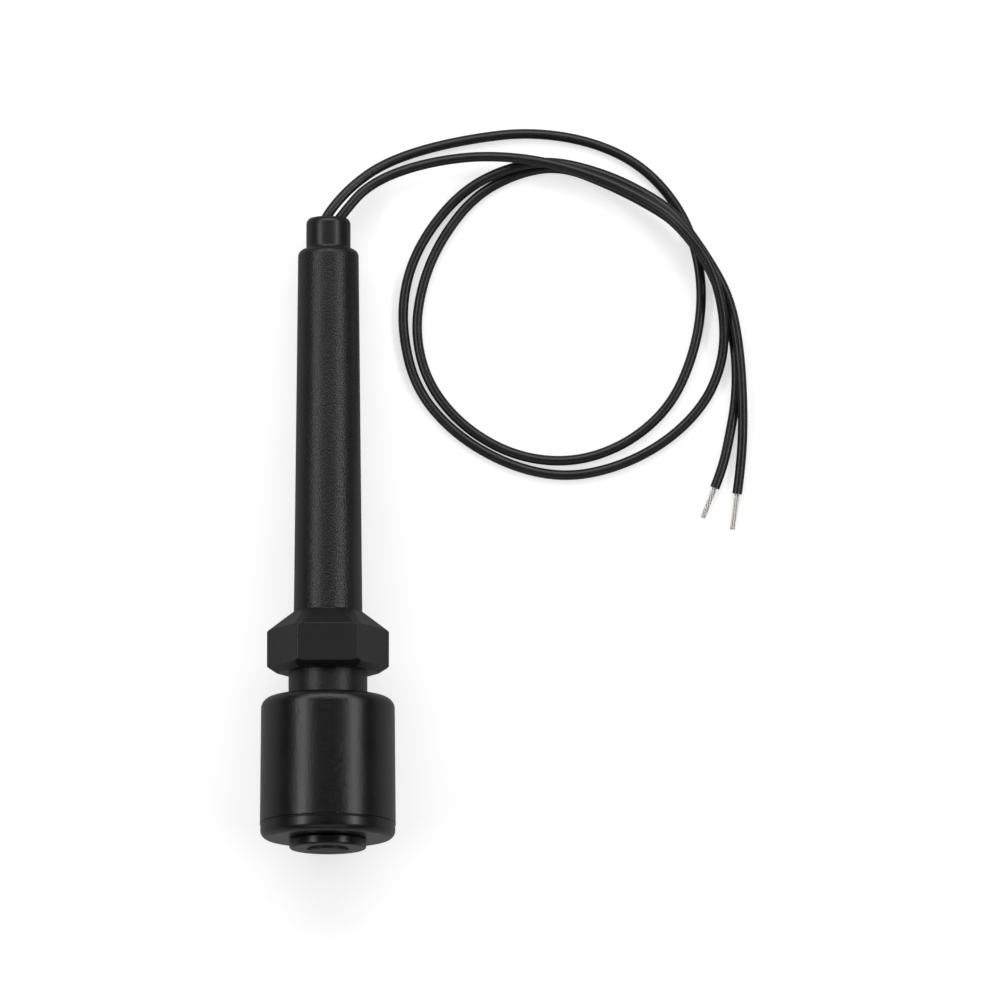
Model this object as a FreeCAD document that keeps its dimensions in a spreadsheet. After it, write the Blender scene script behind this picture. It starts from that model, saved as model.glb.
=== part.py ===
"""A side-lying float level switch with two flying leads.

The switch is a moulded stem with a hexagon and a long tube.  A float with a ring magnet
slides on the stem's thin end, over a sealed reed switch, and a snapped-on ring keeps it there.

Every piece is drawn in the stem's own frame first: Z is the station along the stem, 0 at the
foot and growing towards the leads, and X is across.  The whole switch is then laid down on the
surface z = 0, where it rests on the float's upper rim and on the tube's far shoulder.
Lengths are in millimetres and angles in degrees.
"""
import FreeCAD, Part
import math
import os
from types import SimpleNamespace

import Sketcher

SIZES = [
    ("glass_dia", 2.2, "reed capsule, outside"),
    ("lead_spacing", 2.3, "between the two leads' centres"),
    ("bore_clearance", 0.1, "reed capsule to the stem's bore"),
    ("stem_wall", 1.25, "wall of the thin stem"),
    ("stem_floor", 4.0, "solid foot end of the stem"),
    ("tip_chamfer", 0.12, "chamfer round the stem's tip"),
    ("tip_stand", 0.4, "stem's tip beyond the retainer"),
    ("groove_depth", 0.5, "depth of the retainer's groove"),
    ("retainer_dia", 14.1, "retaining ring, outside"),
    ("retainer_thick", 1.55, "retaining ring, along the stem"),
    ("retainer_clearance", 0.225, "ring's bore round the stem"),
    ("retainer_rounding", 0.5, "ring's lower rim"),
    ("lip_offset", 0.5, "ring's lower face to its snap lip"),
    ("lip_thick", 0.7, "snap lip, along the stem"),
    ("lip_clearance", 0.1, "snap lip round the groove's floor"),
    ("lip_side_gap", 0.05, "groove beside the snap lip"),
    ("float_gap", 0.3, "float above the ring, as it lies"),
    ("float_height", 26.0, "float with its cap"),
    ("float_dia", 24.8, "float at its seam"),
    ("float_draft", 0.4, "float's top narrower than its seam"),
    ("float_wall", 1.3, "float's outer wall"),
    ("float_top_wall", 1.5, "float's upper wall"),
    ("float_rounding", 2.0, "float's upper rim"),
    ("float_clearance", 0.35, "float's bore round the stem"),
    ("float_travel", 4.35, "float's slide along the stem"),
    ("bore_tube_wall", 1.1, "tube inside the float"),
    ("tube_seat", 1.0, "bore tube's end inside the cap"),
    ("seat_clearance", 0.1, "fits on the bore tube"),
    ("cap_height", 2.85, "float cap, bottom to seam"),
    ("cap_floor", 1.4, "float cap's floor"),
    ("cap_inset", 0.08, "cap's side behind its weld lip"),
    ("cap_lip", 0.04, "weld lip beyond the float's wall"),
    ("cap_lip_height", 0.4, "weld lip below the seam"),
    ("seam_groove", 0.12, "groove along the float's seam, half its width"),
    ("cap_rounding", 1.5, "cap's lower rim"),
    ("spigot_height", 2.0, "cap's ring inside the float's wall"),
    ("spigot_wall", 1.2, "wall of that ring"),
    ("spigot_clearance", 0.05, "that ring to the float's wall"),
    ("post_wall", 1.2, "cap's post under the magnet"),
    ("magnet_height", 7.0, "ring magnet, along the stem"),
    ("magnet_wall", 3.05, "ring magnet, bore to outside"),
    ("magnet_chamfer", 0.3, "ring magnet's edges"),
    ("collar_dia", 14.4, "collar above the thin stem"),
    ("collar_entry", 2.25, "collar inside the float, as it lies"),
    ("collar_chamfer", 0.4, "collar's lower edge"),
    ("recess_clearance", 0.4, "float's recess round the collar"),
    ("recess_end_gap", 0.5, "recess floor to the collar, float fully up"),
    ("recess_wall", 1.2, "wall of the float's recess"),
    ("stop_gap", 0.25, "float to the ledge, float fully up"),
    ("ledge_dia", 18.6, "hexagon's flat underside, the float's upper stop"),
    ("under_height", 1.25, "ledge to the hexagon's lower corners"),
    ("hex_flats", 19.4, "hexagon across flats"),
    ("hex_height", 6.3, "hexagon's edges, corner to corner"),
    ("hex_arch", 0.3, "hexagon's faces beyond their corners"),
    ("hex_rounding", 0.4, "hexagon's upright edges"),
    ("under_angle", 55.0, "lower facets, from the stem's line"),
    ("taper_angle", 46.5, "upper facets, from the stem's line"),
    ("taper_height", 3.7, "upper corners to the tube"),
    ("tube_base_dia", 12.54, "tube above the hexagon"),
    ("tube_draft", 1.46, "tube's far end narrower than its base"),
    ("tube_length", 67.2, "tube from the taper to its end"),
    ("shoulder_rounding", 1.35, "tube's far rim"),
    ("cone_offset", 1.5, "collar's start to the bore's cone"),
    ("cone_height", 2.5, "cone between the two bores"),
    ("bush_dia", 8.1, "lead bush, outside"),
    ("bush_clearance", 0.025, "bush to the tube's bore"),
    ("bush_depth", 8.3, "bush inside the tube"),
    ("bush_stand", 5.86, "bush beyond the tube, before its mouth is cut"),
    ("bush_rounding", 1.2, "bush's outer rim"),
    ("flare_width", 0.15, "bush's foot on the tube's end"),
    ("flare_height", 0.35, "height of that foot"),
    ("mouth_dia", 6.9, "bush's mouth at its crest"),
    ("mouth_floor_dia", 5.2, "floor of the bush's mouth"),
    ("mouth_depth", 3.0, "crest to the mouth's floor"),
    ("mouth_crest_drop", 0.16, "crest below the uncut end"),
    ("potting_length", 18.0, "resin below the bush"),
    ("lead_dia", 1.8, "lead's insulation"),
    ("core_dia", 0.95, "lead's stranded core"),
    ("hole_clearance", 0.025, "bush's holes round the leads"),
    ("left_strip", 6.1, "bare end of the left lead"),
    ("right_strip", 6.8, "bare end of the right lead"),
    ("splice_floor_gap", 0.8, "lower splice above the bore's end"),
    ("splice_length", 3.5, "lower splice, along the stem"),
    ("splice_width", 3.8, "lower splice, across both wires"),
    ("splice_thick", 1.5, "lower splice, front to back"),
    ("sleeve_wall", 0.2, "shrunk sleeves"),
    ("sleeve_overhang", 0.4, "sleeves beyond their splices"),
    ("strip_gap", 1.0, "insulation's end to the splice"),
    ("reed_length", 14.0, "reed capsule"),
    ("reed_tail", 3.9, "reed's lower wire to the splice"),
    ("reed_head", 4.8, "reed's upper wire to the splice"),
    ("reed_wire_dia", 0.5, "reed's round wires"),
    ("glass_wall", 0.35, "wall of the reed capsule"),
    ("glass_seal", 1.6, "glass melted round each wire"),
    ("glass_slope", 1.0, "taper of the capsule's ends"),
    ("blade_width", 1.1, "reed's flat blades"),
    ("blade_thick", 0.2, "thickness of a blade"),
    ("blade_gap", 0.12, "between the blades"),
    ("blade_overlap", 1.2, "blades side by side"),
    ("blade_root", 0.9, "round wire inside the capsule"),
    ("joint_length", 6.0, "upper splice, along the stem"),
    ("cut_overrun", 1.0, "bore's cut beyond the tube's end"),
]

BEND_SHARE = 0.45
FIRST_RUN = 1.95

LEFT_ROUTE = [
    (0.6, 60.3, 4.7), (4.2, 64.4, 3.7), (9.3, 68.3, 2.3), (16.6, 71.3, 1.1), (26.3, 73.5, 0.92),
    (36.7, 74.7, 0.92), (47.9, 73.1, 0.92), (57.3, 68.7, 0.92), (64.2, 61.0, 0.92), (67.7, 52.2, 0.92),
    (68.5, 43.0, 0.92), (66.8, 33.5, 0.92), (62.7, 24.3, 0.92), (55.1, 17.5, 0.92), (45.3, 13.9, 0.92),
    (34.7, 14.8, 0.92), (25.1, 20.0, 0.92), (18.3, 28.0, 0.92), (15.8, 37.4, 0.92), (17.1, 46.9, 0.92),
    (20.7, 55.2, 0.92), (26.8, 63.0, 0.92), (34.7, 67.2, 0.92), (42.6, 68.5, 0.92), (51.6, 64.9, 1.4),
    (58.9, 61.0, 2.5), (63.8, 57.7, 3.1), (69.1, 50.9, 2.8), (72.0, 44.5, 1.2), (74.5, 36.1, 0.92),
    (74.8, 26.5, 0.92), (73.1, 17.0, 0.92), (71.9, 12.3, 0.92), (70.7, 9.3, 0.92),
]
RIGHT_ROUTE = [
    (3.5, 60.3, 5.0), (6.5, 63.8, 4.6), (11.7, 66.8, 4.1), (19.7, 69.1, 4.0), (29.0, 70.1, 4.3),
    (39.7, 69.0, 4.8), (50.8, 65.5, 4.9), (60.2, 60.6, 6.0), (64.4, 57.0, 7.0), (69.5, 50.5, 6.7),
    (71.7, 44.3, 5.3), (72.6, 37.9, 3.3), (71.9, 31.5, 1.2), (68.8, 24.5, 0.92), (62.1, 17.8, 0.92),
    (53.2, 13.1, 0.92), (43.4, 11.1, 0.92), (33.3, 13.2, 0.92), (23.3, 18.9, 0.92), (16.0, 27.3, 0.92),
    (13.4, 38.1, 0.92), (14.1, 47.6, 0.92), (17.8, 56.0, 0.92), (24.5, 63.8, 1.2), (32.2, 67.8, 2.5),
    (40.6, 69.4, 2.8), (50.8, 66.8, 2.8), (58.9, 62.7, 3.7), (64.0, 58.8, 4.9), (69.5, 51.1, 4.7),
    (73.4, 44.1, 3.1), (75.2, 35.2, 2.8), (75.9, 24.2, 2.4), (75.7, 14.8, 0.92), (74.8, 8.2, 0.92),
]


class Size:
    """A length that carries its formula in the sheet's names and its present value."""

    def __init__(self, formula, value):
        self.formula = formula
        self.value = value

    @staticmethod
    def of(other):
        return other if isinstance(other, Size) else Size(str(other), float(other))

    def joined(self, sign, other, value):
        return Size("(%s %s %s)" % (self.formula, sign, other.formula), value)

    def __add__(self, other):
        other = Size.of(other)
        return self.joined("+", other, self.value + other.value)

    def __sub__(self, other):
        other = Size.of(other)
        return self.joined("-", other, self.value - other.value)

    def __mul__(self, other):
        other = Size.of(other)
        return self.joined("*", other, self.value * other.value)

    def __truediv__(self, other):
        other = Size.of(other)
        return self.joined("/", other, self.value / other.value)


def make_sheet(document):
    """The driving dimensions, one row each: name, size, what it is."""
    table = document.addObject("Spreadsheet::Sheet", "Sizes")
    for row, (alias, number, note) in enumerate(SIZES, start=1):
        table.set("A%d" % row, alias)
        table.set("B%d" % row, str(number))
        table.set("C%d" % row, note)
        table.setAlias("B%d" % row, alias)
    document.recompute()
    return table


doc = FreeCAD.newDocument("FloatLevelSwitch")
sheet = make_sheet(doc)
size = SimpleNamespace(**{alias: Size("Sizes." + alias, float(sheet.get(alias))) for alias, _, _ in SIZES})
ZERO = Size("0", 0.0)

# Radii and stations that several pieces share.
float_top_radius = (size.float_dia - size.float_draft) / 2
tube_top_radius = (size.tube_base_dia - size.tube_draft) / 2
lead_side = size.lead_spacing / 2
bore_radius = lead_side + size.glass_dia / 2 + size.bore_clearance
stem_radius = bore_radius + size.stem_wall
groove_radius = stem_radius - size.groove_depth
housing_bore_radius = size.bush_dia / 2 + size.bush_clearance
float_bore_radius = stem_radius + size.float_clearance
bore_tube_radius = float_bore_radius + size.bore_tube_wall
seat_radius = bore_tube_radius + size.seat_clearance
recess_radius = size.collar_dia / 2 + size.recess_clearance

retainer_top = size.tip_stand + size.retainer_thick
lip_start = size.tip_stand + size.lip_offset
float_bottom = retainer_top + size.float_gap
seam = float_bottom + size.cap_height
float_top = float_bottom + size.float_height
collar_start = float_top - size.collar_entry
ledge = float_top + size.float_travel + size.stop_gap
hex_low = ledge + size.under_height
hex_high = hex_low + size.hex_height
taper_end = hex_high + size.taper_height
tube_top = taper_end + size.tube_length
recess_floor = collar_start - size.float_travel - size.recess_end_gap
magnet_top = recess_floor - size.recess_wall
magnet_bottom = magnet_top - size.magnet_height
cone_start = collar_start + size.cone_offset
cone_end = cone_start + size.cone_height
bush_bottom = tube_top - size.bush_depth
bush_top = tube_top + size.bush_stand
mouth_crest = bush_top - size.mouth_crest_drop
mouth_floor = mouth_crest - size.mouth_depth
splice_start = size.stem_floor + size.splice_floor_gap
splice_end = splice_start + size.splice_length
reed_start = splice_end + size.reed_tail
reed_end = reed_start + size.reed_length
joint_start = reed_end + size.reed_head
joint_middle = joint_start + size.joint_length / 2
joint_end = joint_start + size.joint_length
right_inner_start = splice_end + size.strip_gap
left_inner_start = joint_end + size.strip_gap


def origin_plane(body, role):
    """One of a body's own origin planes."""
    return next(item for item in body.Origin.OriginFeatures if item.Role == role)


def new_body(label):
    """An empty body that becomes one sub-part."""
    body = doc.addObject("PartDesign::Body", label)
    body.Label = label
    return body


def new_sketch(body, name, role):
    """A sketch on one of the body's own origin planes."""
    sketch = body.newObject("Sketcher::SketchObject", name)
    sketch.AttachmentSupport = (origin_plane(body, role), [""])
    sketch.MapMode = "FlatFace"
    return sketch


def hold(sketch, line, kind, length):
    """Ties the start of a line to its distance from the sketch's origin."""
    if length.value == 0:
        axis = -2 if kind == "DistanceX" else -1
        sketch.addConstraint(Sketcher.Constraint("PointOnObject", line, 1, axis))
    elif length.value < 0:
        index = sketch.addConstraint(Sketcher.Constraint(kind, line, 1, -1, 1, -length.value))
        sketch.setExpression("Constraints[%d]" % index, "-1 * " + length.formula)
    else:
        index = sketch.addConstraint(Sketcher.Constraint(kind, -1, 1, line, 1, length.value))
        sketch.setExpression("Constraints[%d]" % index, length.formula)


def outline(sketch, points):
    """A closed outline of straight lines through points given as two sizes each."""
    corners = [FreeCAD.Vector(across.value, along.value, 0) for across, along in points]
    count = len(points)
    for line in range(count):
        sketch.addGeometry(Part.LineSegment(corners[line], corners[(line + 1) % count]), False)
    for line in range(count):
        sketch.addConstraint(Sketcher.Constraint("Coincident", line, 2, (line + 1) % count, 1))
    for line, (across, along) in enumerate(points):
        hold(sketch, line, "DistanceX", across)
        hold(sketch, line, "DistanceY", along)


def turn(body, name, points, kind="PartDesign::Revolution"):
    """A turned feature: an outline of radius and station, swung round the stem's line."""
    sketch = new_sketch(body, name + "Outline", "XZ_Plane")
    outline(sketch, points)
    feature = body.newObject(kind, name)
    feature.Profile = sketch
    feature.ReferenceAxis = (sketch, ["V_Axis"])
    feature.Angle = 360
    sketch.Visibility = False
    doc.recompute()
    return feature


def cut_turn(body, name, points):
    """A turned cut, checked to have taken something away."""
    before = body.Shape.Volume
    feature = turn(body, name, points, "PartDesign::Groove")
    if body.Shape.Volume >= before:
        raise RuntimeError("%s cuts nothing" % name)
    return feature


def ring_edges(feature, radius, station):
    """Names of the circular edges at a radius and a station."""
    names = []
    for number, edge in enumerate(feature.Shape.Edges, start=1):
        curve = edge.Curve
        if not isinstance(curve, Part.Circle):
            continue
        if abs(curve.Radius - radius.value) < 1e-4 and abs(curve.Center.z - station.value) < 1e-4:
            names.append("Edge%d" % number)
    if not names:
        raise RuntimeError("no edge on %s at radius %.3f" % (feature.Name, radius.value))
    return names


def upright_edges(feature, radius):
    """Names of the straight edges along the stem's line at a radius."""
    names = []
    for number, edge in enumerate(feature.Shape.Edges, start=1):
        if not isinstance(edge.Curve, Part.Line):
            continue
        ends = [vertex.Point for vertex in edge.Vertexes]
        at_radius = all(abs(math.hypot(end.x, end.y) - radius.value) < 1e-4 for end in ends)
        if at_radius and math.hypot(ends[0].x - ends[1].x, ends[0].y - ends[1].y) < 1e-4:
            names.append("Edge%d" % number)
    if not names:
        raise RuntimeError("no upright edge on %s" % feature.Name)
    return names


def dress(body, kind, property_name, base, names, length):
    """A fillet or chamfer on the named edges of the last feature."""
    feature = body.newObject("PartDesign::" + kind, base.Name + kind)
    feature.Base = (base, names)
    feature.setExpression(property_name, length.formula)
    doc.recompute()
    return feature


def fillet(body, base, rings, radius):
    names = [name for ring in rings for name in ring_edges(base, *ring)]
    return dress(body, "Fillet", "Radius", base, names, radius)


def chamfer(body, base, rings, length):
    names = [name for ring in rings for name in ring_edges(base, *ring)]
    return dress(body, "Chamfer", "Size", base, names, length)


def hexagon_pad(body, name, station, height, slope, downwards):
    """A six-sided block whose side leans inwards by the slope; its corners lie on X."""
    sketch = new_sketch(body, name + "Outline", "XY_Plane")
    flat = size.hex_flats / 2
    corner = size.hex_flats / math.sqrt(3)
    outline(sketch, [
        (corner, ZERO), (corner / 2, flat), (corner / -2, flat),
        (corner * -1, ZERO), (corner / -2, flat * -1), (corner / 2, flat * -1),
    ])
    sketch.setExpression("AttachmentOffset.Base.z", station.formula)
    pad = body.newObject("PartDesign::Pad", name)
    pad.Profile = sketch
    pad.setExpression("Length", height.formula)
    pad.Reversed = downwards
    if slope is not None:
        pad.setExpression("TaperAngle", "-1 * " + slope.formula)
    sketch.Visibility = False
    doc.recompute()
    return pad


def make_stem_housing():
    """The moulded stem, collar, hexagon and tube, with its blind stepped bore."""
    body = new_body("stem_housing")
    groove_start = lip_start - size.lip_side_gap
    groove_end = lip_start + size.lip_thick + size.lip_side_gap
    tip_radius = stem_radius - size.tip_chamfer
    collar_radius = size.collar_dia / 2
    tube_base_radius = size.tube_base_dia / 2
    turned = turn(body, "Turned", [
        (ZERO, ZERO), (tip_radius, ZERO), (stem_radius, size.tip_chamfer), (stem_radius, groove_start),
        (groove_radius, groove_start), (groove_radius, groove_end), (stem_radius, groove_end),
        (stem_radius, collar_start), (collar_radius - size.collar_chamfer, collar_start),
        (collar_radius, collar_start + size.collar_chamfer), (collar_radius, ledge),
        (tube_base_radius, ledge), (tube_base_radius, taper_end),
        (tube_top_radius, tube_top), (ZERO, tube_top),
    ])
    fillet(body, turned, [(tube_top_radius, tube_top)], size.shoulder_rounding)
    face_low = hex_low - size.hex_arch
    face_high = hex_high + size.hex_arch
    corner = size.hex_flats / math.sqrt(3)
    hexagon = hexagon_pad(body, "Hexagon", face_low, face_high - face_low, None, False)
    dress(body, "Fillet", "Radius", hexagon, upright_edges(hexagon, corner), size.hex_rounding)
    hexagon_pad(body, "UpperFacets", face_high, taper_end - face_high, size.taper_angle, False)
    hexagon_pad(body, "LowerFacets", face_low, face_low - ledge, size.under_angle, True)
    beyond = corner + size.hex_arch
    cut_turn(body, "UpperCone", [
        (corner, hex_high), (beyond, hex_high), (beyond, taper_end), (tube_base_radius, taper_end),
    ])
    cut_turn(body, "LowerCone", [
        (corner, hex_low), (beyond, hex_low), (beyond, ledge), (size.ledge_dia / 2, ledge),
    ])
    cut_end = tube_top + size.cut_overrun
    cut_turn(body, "Bore", [
        (ZERO, size.stem_floor), (bore_radius, size.stem_floor), (bore_radius, cone_start),
        (housing_bore_radius, cone_end), (housing_bore_radius, cut_end), (ZERO, cut_end),
    ])
    return body


def make_retaining_ring():
    """The ring that snaps over the stem's tip and carries the float at its lowest."""
    body = new_body("retaining_ring")
    outside = size.retainer_dia / 2
    bore = stem_radius + size.retainer_clearance
    lip = groove_radius + size.lip_clearance
    lip_end = lip_start + size.lip_thick
    turned = turn(body, "RetainerTurned", [
        (bore, size.tip_stand), (outside, size.tip_stand), (outside, retainer_top), (bore, retainer_top),
        (bore, lip_end), (lip, lip_end), (lip, lip_start), (bore, lip_start),
    ])
    fillet(body, turned, [(outside, size.tip_stand)], size.retainer_rounding)
    return body


def make_float_shell():
    """The float's outer wall, its recess for the collar and the tube that runs on the stem."""
    body = new_body("float_shell")
    base = size.float_dia / 2
    top = float_top_radius
    recess_outside = recess_radius + size.recess_wall
    ceiling = float_top - size.float_top_wall
    tube_end = seam - size.tube_seat
    turned = turn(body, "ShellTurned", [
        (base - size.seam_groove, seam), (base, seam + size.seam_groove),
        (top, float_top), (recess_radius, float_top), (recess_radius, recess_floor),
        (float_bore_radius, recess_floor), (float_bore_radius, tube_end), (bore_tube_radius, tube_end),
        (bore_tube_radius, magnet_top), (recess_outside, magnet_top), (recess_outside, ceiling),
        (top - size.float_wall, ceiling), (base - size.float_wall, seam),
    ])
    fillet(body, turned, [(top, float_top)], size.float_rounding)
    return body


def make_float_cap():
    """The welded cap under the float, with its spigot and the post that holds the magnet up."""
    body = new_body("float_cap")
    lip = size.float_dia / 2 + size.cap_lip
    side = size.float_dia / 2 - size.cap_inset
    spigot_outside = size.float_dia / 2 - size.float_wall - size.spigot_clearance
    spigot_inside = spigot_outside - size.spigot_wall
    spigot_top = seam + size.spigot_height
    floor = float_bottom + size.cap_floor
    post_outside = seat_radius + size.post_wall
    tube_end = seam - size.tube_seat
    turned = turn(body, "CapTurned", [
        (float_bore_radius, float_bottom), (side, float_bottom),
        (side, seam - size.cap_lip_height), (lip, seam - size.seam_groove),
        (lip - size.seam_groove, seam), (spigot_outside, seam), (spigot_outside, spigot_top),
        (spigot_inside, spigot_top), (spigot_inside, floor),
        (post_outside, floor), (post_outside, magnet_bottom), (seat_radius, magnet_bottom),
        (seat_radius, tube_end), (float_bore_radius, tube_end),
    ])
    fillet(body, turned, [(side, float_bottom)], size.cap_rounding)
    return body


def make_ring_magnet():
    """The ring magnet round the float's bore tube, between the recess and the cap's post."""
    body = new_body("ring_magnet")
    outside = seat_radius + size.magnet_wall
    turned = turn(body, "MagnetTurned", [
        (seat_radius, magnet_bottom), (outside, magnet_bottom),
        (outside, magnet_top), (seat_radius, magnet_top),
    ])
    rings = [(outside, magnet_bottom), (outside, magnet_top)]
    chamfer(body, turned, rings, size.magnet_chamfer)
    return body


def make_lead_bush():
    """The smooth bush in the tube's end, with a small foot and a mouth that the leads lean out of."""
    body = new_body("lead_bush")
    radius = size.bush_dia / 2
    turned = turn(body, "BushTurned", [
        (ZERO, bush_bottom), (radius, bush_bottom), (radius, tube_top),
        (radius + size.flare_width, tube_top), (radius, tube_top + size.flare_height),
        (radius, bush_top), (ZERO, bush_top),
    ])
    fillet(body, turned, [(radius, bush_top)], size.bush_rounding)
    widening = (size.mouth_dia - size.mouth_floor_dia) / 2
    rise = size.mouth_depth + size.mouth_crest_drop
    end_radius = size.mouth_floor_dia / 2 + widening * rise / size.mouth_depth
    cut_turn(body, "Mouth", [
        (ZERO, mouth_floor), (size.mouth_floor_dia / 2, mouth_floor),
        (end_radius, bush_top), (ZERO, bush_top),
    ])
    sketch = new_sketch(body, "LeadHoleCentres", "XY_Plane")
    hole = size.lead_dia / 2 + size.hole_clearance
    for side in (-1, 1):
        centre = FreeCAD.Vector(side * lead_side.value, 0, 0)
        circle = sketch.addGeometry(Part.Circle(centre, FreeCAD.Vector(0, 0, 1), hole.value), False)
        sketch.addConstraint(Sketcher.Constraint("PointOnObject", circle, 3, -1))
        ends = (-1, 1, circle, 3) if side > 0 else (circle, 3, -1, 1)
        across = sketch.addConstraint(Sketcher.Constraint("DistanceX", *ends, lead_side.value))
        sketch.setExpression("Constraints[%d]" % across, lead_side.formula)
        round_size = sketch.addConstraint(Sketcher.Constraint("Radius", circle, hole.value))
        sketch.setExpression("Constraints[%d]" % round_size, hole.formula)
    sketch.setExpression("AttachmentOffset.Base.z", bush_bottom.formula)
    pocket = body.newObject("PartDesign::Pocket", "LeadHoles")
    pocket.Profile = sketch
    pocket.setExpression("Length", (bush_top - bush_bottom).formula)
    pocket.Reversed = True
    before = body.Shape.Volume
    doc.recompute()
    if body.Shape.Volume >= before:
        raise RuntimeError("the lead holes cut nothing")
    return body


def rod(name, across, radius, start, end):
    """A plain round rod along the stem's line, its centre at X = across."""
    cylinder = doc.addObject("Part::Cylinder", name)
    cylinder.setExpression("Radius", radius.formula)
    cylinder.setExpression("Height", (end - start).formula)
    cylinder.setExpression("Placement.Base.x", across.formula)
    cylinder.setExpression("Placement.Base.z", start.formula)
    return cylinder


def bored(label, solid, holes):
    """A solid with its holes taken out of it, one after another."""
    for number, hole in enumerate(holes, start=1):
        last = number == len(holes)
        cut = doc.addObject("Part::Cut", label if last else "%s_cut_%d" % (label, number))
        cut.Base = solid
        cut.Tool = hole
        solid = cut
    solid.Label = label
    return solid


def make_potting():
    """The resin that seals the tube below the bush, round the two leads."""
    top = bush_bottom
    bottom = top - size.potting_length
    plug = rod("PottingPlug", ZERO, housing_bore_radius, bottom, top)
    holes = [
        rod("PottingHoleLeft", lead_side * -1, size.lead_dia / 2, bottom, top),
        rod("PottingHoleRight", lead_side, size.lead_dia / 2, bottom, top),
    ]
    return bored("potting_compound", plug, holes)


def make_inner_lead(side_name, insulation_start, core_start):
    """A lead's stretch inside the switch, on its own line: its insulation and stranded core."""
    outside = size.lead_dia / 2
    radius = size.core_dia / 2
    insulation = new_body(side_name + "_lead_inner_insulation")
    turn(insulation, side_name.capitalize() + "InsulationTurned", [
        (radius, insulation_start), (outside, insulation_start),
        (outside, mouth_floor), (radius, mouth_floor),
    ])
    core = new_body(side_name + "_lead_inner_core")
    turn(core, side_name.capitalize() + "CoreTurned", [
        (ZERO, core_start), (radius, core_start), (radius, mouth_floor), (ZERO, mouth_floor),
    ])
    return [insulation, core]


def slot_block(name, width, thick, start, end):
    """A block with rounded ends, as wide as both wires, centred on the stem's line."""
    spread = (width - thick) / 2
    middle = doc.addObject("Part::Box", name + "Middle")
    middle.setExpression("Length", (spread * 2).formula)
    middle.setExpression("Width", thick.formula)
    middle.setExpression("Height", (end - start).formula)
    middle.setExpression("Placement.Base.x", (spread * -1).formula)
    middle.setExpression("Placement.Base.y", (thick / -2).formula)
    middle.setExpression("Placement.Base.z", start.formula)
    ends = [
        rod(name + "LeftEnd", spread * -1, thick / 2, start, end),
        rod(name + "RightEnd", spread, thick / 2, start, end),
    ]
    block = doc.addObject("Part::MultiFuse", name)
    block.Shapes = [middle] + ends
    block.Refine = True
    return block


def make_lower_splice():
    """The crimp that joins the reed's lower wire to the right lead, and its shrunk sleeve."""
    block = slot_block("SpliceBlock", size.splice_width, size.splice_thick, splice_start, splice_end)
    holes = [
        rod("SpliceReedHole", lead_side * -1, size.reed_wire_dia / 2, splice_start, splice_end),
        rod("SpliceCoreHole", lead_side, size.core_dia / 2, splice_start, splice_end),
    ]
    splice = bored("lower_splice", block, holes)
    start = splice_start - size.sleeve_overhang
    end = splice_end + size.sleeve_overhang
    width = size.splice_width + size.sleeve_wall * 2
    thick = size.splice_thick + size.sleeve_wall * 2
    outside = slot_block("SleeveOutside", width, thick, start, end)
    inside = slot_block("SleeveInside", size.splice_width, size.splice_thick, start, end)
    sleeve = bored("lower_splice_sleeve", outside, [inside])
    return [splice, sleeve]


def make_upper_splice():
    """The barrel that joins the reed's upper wire to the left lead, and its shrunk sleeve."""
    outside = size.lead_dia / 2
    wire = size.reed_wire_dia / 2
    core = size.core_dia / 2
    splice = new_body("upper_splice")
    turn(splice, "BarrelTurned", [
        (wire, joint_start), (outside, joint_start), (outside, joint_end), (core, joint_end),
        (core, joint_middle), (wire, joint_middle),
    ])
    start = joint_start - size.sleeve_overhang
    end = left_inner_start + size.strip_gap
    skin = outside + size.sleeve_wall
    sleeve = new_body("upper_splice_sleeve")
    turn(sleeve, "UpperSleeveTurned", [(outside, start), (skin, start), (skin, end), (outside, end)])
    return [splice, sleeve]


def make_reed_glass():
    """The sealed glass capsule of the reed switch, melted round its two wires."""
    body = new_body("reed_glass")
    wire = size.reed_wire_dia / 2
    outside = size.glass_dia / 2
    inside = outside - size.glass_wall
    shoulder = outside - size.glass_wall / 2
    turn(body, "GlassTurned", [
        (wire, reed_start), (shoulder, reed_start), (outside, reed_start + size.glass_slope),
        (outside, reed_end - size.glass_slope), (shoulder, reed_end), (wire, reed_end),
        (wire, reed_end - size.glass_seal), (inside, reed_end - size.glass_seal - size.glass_wall),
        (inside, reed_start + size.glass_seal + size.glass_wall), (wire, reed_start + size.glass_seal),
    ])
    return body


def make_reed_blade(label, wire_start, wire_end, blade_start, blade_end, front):
    """A reed's round wire and its flat blade, in the capsule's own frame."""
    wire = rod(label + "_wire", ZERO, size.reed_wire_dia / 2, wire_start, wire_end)
    flat = doc.addObject("Part::Box", label + "_flat")
    flat.setExpression("Length", size.blade_width.formula)
    flat.setExpression("Width", size.blade_thick.formula)
    flat.setExpression("Height", (blade_end - blade_start).formula)
    flat.setExpression("Placement.Base.x", (size.blade_width / -2).formula)
    near = size.blade_gap / 2 if front else size.blade_gap / -2 - size.blade_thick
    flat.setExpression("Placement.Base.y", near.formula)
    flat.setExpression("Placement.Base.z", blade_start.formula)
    blade = doc.addObject("Part::MultiFuse", label)
    blade.Shapes = [wire, flat]
    blade.Refine = True
    blade.Label = label
    return blade


def make_reed_blades():
    """The two blades that the magnet pulls together, overlapping at the capsule's middle."""
    middle = reed_start + size.reed_length / 2
    reach = size.blade_overlap / 2
    lower_root = reed_start + size.glass_seal
    upper_root = reed_end - size.glass_seal
    lower = make_reed_blade("reed_blade_lower", splice_start, lower_root + size.blade_root,
                            lower_root + size.glass_wall, middle + reach, True)
    upper = make_reed_blade("reed_blade_upper", upper_root - size.blade_root, joint_middle,
                            middle - reach, upper_root - size.glass_wall, False)
    return [lower, upper]


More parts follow.
